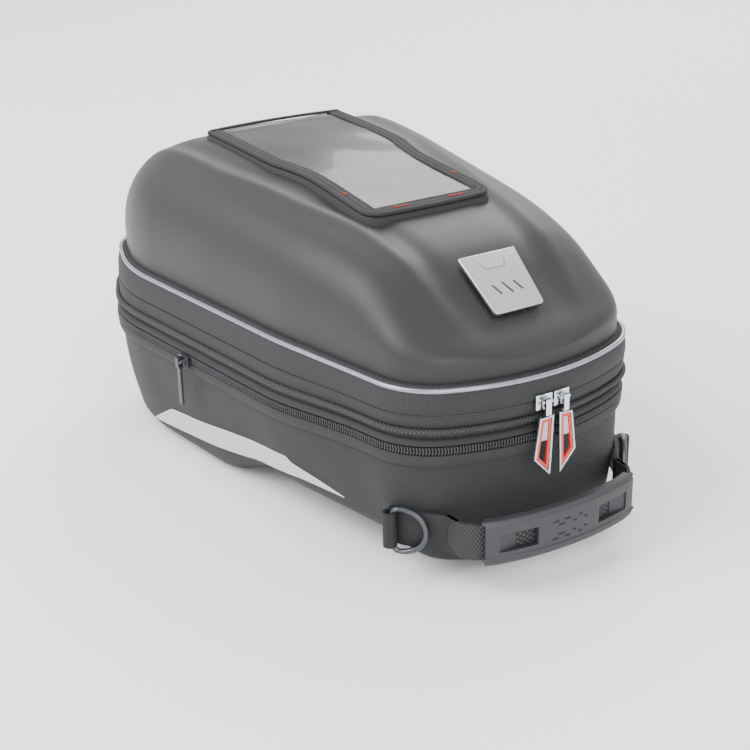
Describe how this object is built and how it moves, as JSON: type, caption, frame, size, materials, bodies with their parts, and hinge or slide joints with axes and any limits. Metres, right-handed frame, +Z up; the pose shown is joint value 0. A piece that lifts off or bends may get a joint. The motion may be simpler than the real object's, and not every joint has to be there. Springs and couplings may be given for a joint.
{
  "type": "motorcycle tank bag",
  "caption": "Hard-lidded motorcycle tank bag with phone pocket, expansion collar, zips, rubber-gripped handle, D-rings and a tank-ring lock unit underneath.",
  "frame": {"origin": "middle of the footprint, on the surface that the bag stands on", "axes": "+Z up, +Y towards the front of the motorcycle (the handle is at -Y, the rider's end), +X to the bag's right"},
  "size_m": [0.2554, 0.4094, 0.2024],
  "materials": {
    "ballistic_nylon": "woven polyester, diagonal weave, matt",
    "eva_shell": "thermoformed foam faced with fine matt fabric",
    "zip_tape": "woven zip tape",
    "zip_coil": "nylon coil",
    "silver_piping": "silver coated piping",
    "webbing": "woven webbing",
    "rubber_grip": "moulded rubber, satin",
    "black_plastic": "moulded nylon",
    "clear_film": "clear TPU film, glossy",
    "satin_metal": "satin plated",
    "chrome": "polished chrome",
    "dark_metal": "gunmetal plated",
    "red_enamel": "red soft-touch plastic",
    "grey_inlay": "grey plastic",
    "steel": "zinc plated",
    "board": "polyethylene board"
  },
  "bodies": {
    "base": {"tub_shell": "ballistic_nylon", "base_board": "board", "lock_housing": "black_plastic", "lock_clamp_plate": "steel", "lock_spring": "steel", "lock_screw_1": "steel", "lock_screw_2": "steel", "lock_screw_3": "steel", "lock_screw_4": "steel", "expansion_zip_lower": "zip_tape", "strap_anchor_left": "webbing", "strap_anchor_right": "webbing"},
    "latch": {"lock_latch": "steel", "lock_release_tab": "rubber_grip"},
    "collar": {"collar_band": "ballistic_nylon", "collar_welt": "webbing", "expansion_zip_upper": "zip_tape", "expansion_gusset": "ballistic_nylon", "main_zip_lower": "zip_coil", "lid_hinge_strip": "ballistic_nylon"},
    "lid": {"lid_shell": "eva_shell", "lid_piping": "silver_piping", "lid_band": "ballistic_nylon", "main_zip_upper": "zip_coil", "pocket_frame": "ballistic_nylon", "pocket_window": "clear_film", "pocket_liner": "ballistic_nylon", "badge_plate": "satin_metal", "badge_stud_left": "steel", "badge_stud_right": "steel"},
    "slider_left": {"slider_left": "chrome"},
    "slider_right": {"slider_right": "chrome"},
    "pull_left": {"pull_link_left": "chrome", "pull_frame_left": "satin_metal", "pull_rim_left": "red_enamel", "pull_inlay_left": "grey_inlay"},
    "pull_right": {"pull_link_right": "chrome", "pull_frame_right": "satin_metal", "pull_rim_right": "red_enamel", "pull_inlay_right": "grey_inlay"},
    "expansion_slider": {"expansion_slider": "dark_metal"},
    "expansion_pull": {"expansion_pull": "dark_metal"},
    "handle": {"handle_strap": "webbing", "handle_grip": "rubber_grip"},
    "d_ring_left": {"d_ring_left": "dark_metal"},
    "d_ring_right": {"d_ring_right": "dark_metal"}
  },
  "joints": [
    {"name": "collar_raise", "type": "slide", "parent": "base", "child": "collar", "axis": [0, 0, 1], "range_m": [0, 0.045], "deforming": ["expansion_gusset"]},
    {"name": "lid_open", "type": "hinge", "parent": "collar", "child": "lid", "pos_m": [0.00045, 0.20046, 0.105], "axis": [-1, 0, 0], "range_deg": [0, 100], "deforming": ["lid_hinge_strip"]},
    {"name": "latch_pull", "type": "slide", "parent": "base", "child": "latch", "axis": [1, 0, 0], "range_m": [0, 0.005], "stiffness_N_per_m": 300, "deforming": ["lock_spring"]},
    {"name": "handle_lift", "type": "hinge", "parent": "base", "child": "handle", "pos_m": [0.00045, -0.18414, 0.034], "axis": [-1, 0, 0], "range_deg": [-4, 28]},
    {"name": "slider_left_travel", "type": "hinge", "parent": "collar", "child": "slider_left", "pos_m": [0.00045, -0.03214, 0.105], "axis": [0, 0, -1], "range_deg": [0, 18]},
    {"name": "pull_left_swing", "type": "hinge", "parent": "slider_left", "child": "pull_left", "pos_m": [-0.00482, -0.18716, 0.1062], "axis": [-0.9994, 0.034, 0], "range_deg": [0, 120]},
    {"name": "slider_right_travel", "type": "hinge", "parent": "collar", "child": "slider_right", "pos_m": [0.00045, -0.03214, 0.105], "axis": [0, 0, 1], "range_deg": [0, 18]},
    {"name": "pull_right_swing", "type": "hinge", "parent": "slider_right", "child": "pull_right", "pos_m": [0.00779, -0.18707, 0.1062], "axis": [-0.9989, -0.0473, 0], "range_deg": [0, 120]},
    {"name": "expansion_slider_travel", "type": "slide", "parent": "base", "child": "expansion_slider", "axis": [0.1069, -0.9943, 0], "range_m": [0, 0.06]},
    {"name": "expansion_pull_swing", "type": "hinge", "parent": "expansion_slider", "child": "expansion_pull", "pos_m": [-0.12571, 0.03421, 0.0842], "axis": [-0.1069, 0.9943, 0], "range_deg": [0, 120]},
    {"name": "d_ring_left_swing", "type": "hinge", "parent": "base", "child": "d_ring_left", "pos_m": [-0.08617, -0.14949, 0.034], "axis": [0, 0, -1], "range_deg": [0, 140]},
    {"name": "d_ring_right_swing", "type": "hinge", "parent": "base", "child": "d_ring_right", "pos_m": [0.08708, -0.14949, 0.034], "axis": [0, 0, 1], "range_deg": [0, 140]}
  ]
}
